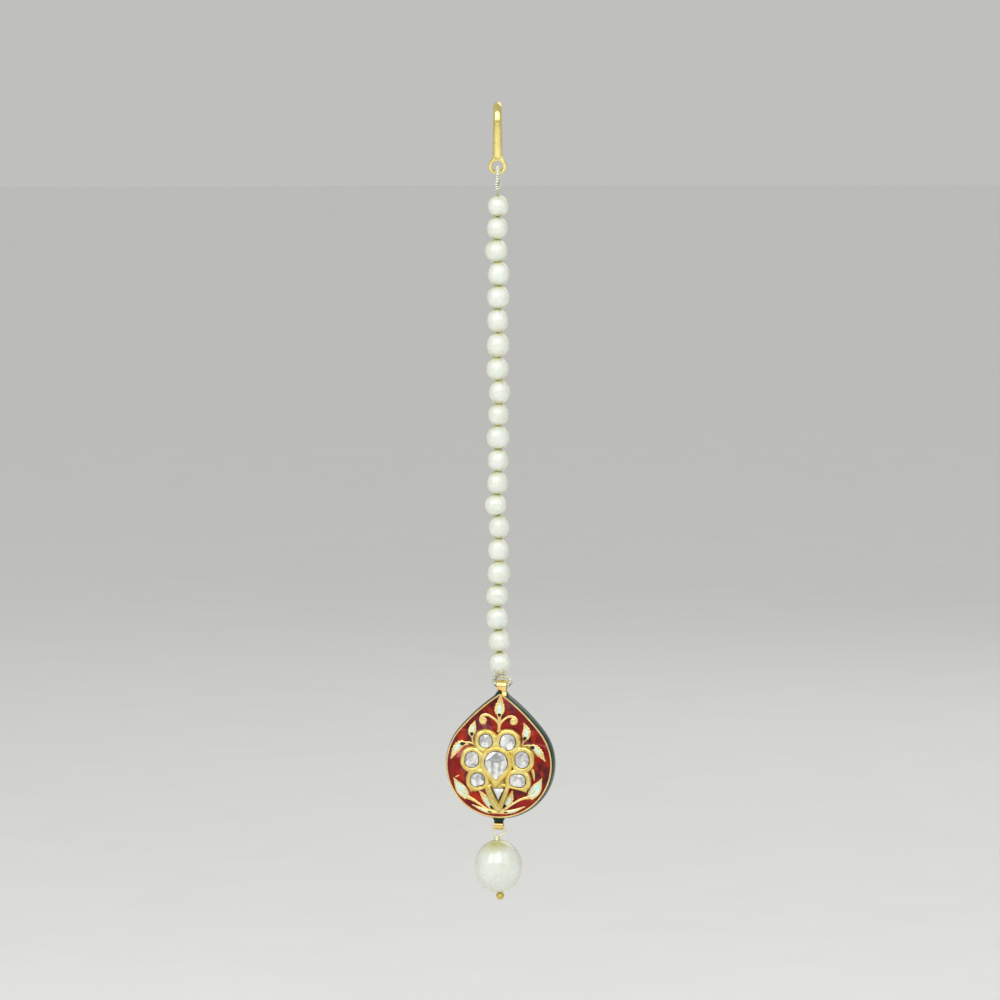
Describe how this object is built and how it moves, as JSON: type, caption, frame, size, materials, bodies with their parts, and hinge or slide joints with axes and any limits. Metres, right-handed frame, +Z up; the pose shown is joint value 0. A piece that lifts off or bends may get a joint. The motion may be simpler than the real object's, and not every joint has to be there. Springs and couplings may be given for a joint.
{
  "type": "maang tikka",
  "caption": "Maang tikka: a wire hook, a string of pearls, a pear-shaped enamelled gold pendant set with flat foiled stones, and a pearl drop.",
  "frame": {"origin": "inside top of the hook's bend, where the hair or a peg holds it", "axes": "+Z up, the string hangs down -Z, the face looks along -Y, +X to the viewer's right"},
  "size_m": [0.0198, 0.0088, 0.1436],
  "materials": {
    "gold": "polished yellow gold",
    "kundan_gold": "soft burnished pure gold foil",
    "gimp": "fine coiled silvery wire",
    "silk": "twisted silk thread",
    "pearl": "ivory white pearl lustre",
    "green_enamel": "dark green glossy enamel",
    "red_enamel": "translucent red enamel over gold",
    "mint_enamel": "opaque mint-white enamel",
    "black_enamel": "blackish green enamel dots",
    "foiled_stone": "flat uncut stone over silver foil"
  },
  "bodies": {
    "root": {"hook": "gold", "top_gimp_loop": "gimp", "silk_thread": "silk", "lower_gimp_loop": "gimp", "pearl_01": "pearl", "pearl_02": "pearl", "pearl_03": "pearl", "pearl_04": "pearl", "pearl_05": "pearl", "pearl_06": "pearl", "pearl_07": "pearl", "pearl_08": "pearl", "pearl_09": "pearl", "pearl_10": "pearl", "pearl_11": "pearl", "pearl_12": "pearl", "pearl_13": "pearl", "pearl_14": "pearl", "pearl_15": "pearl", "pearl_16": "pearl", "pearl_17": "pearl", "pearl_18": "pearl", "pearl_19": "pearl", "pearl_20": "pearl", "pearl_21": "pearl"},
    "pendant": {"pendant_case": "gold", "side_enamel": "green_enamel", "front_enamel": "red_enamel", "back_enamel": "green_enamel", "kundan_setting": "kundan_gold", "stone_upper_left": "foiled_stone", "stone_upper_right": "foiled_stone", "stone_left": "foiled_stone", "stone_right": "foiled_stone", "stone_lower_left": "foiled_stone", "stone_lower_right": "foiled_stone", "stone_centre": "foiled_stone", "stone_point": "foiled_stone"},
    "drop": {"drop_wire": "gold", "drop_pearl": "pearl"}
  },
  "joints": [
    {"name": "pendant_swing", "type": "hinge", "parent": "root", "child": "pendant", "pos_m": [0.00066, 0, -0.1031], "axis": [0.9873, -0.1564, -0.0259], "range_deg": [-75, 75]},
    {"name": "drop_swing", "type": "hinge", "parent": "pendant", "child": "drop", "pos_m": [0, 0, -0.12872], "axis": [0.9873, -0.1564, -0.0259], "range_deg": [-75, 75]}
  ]
}
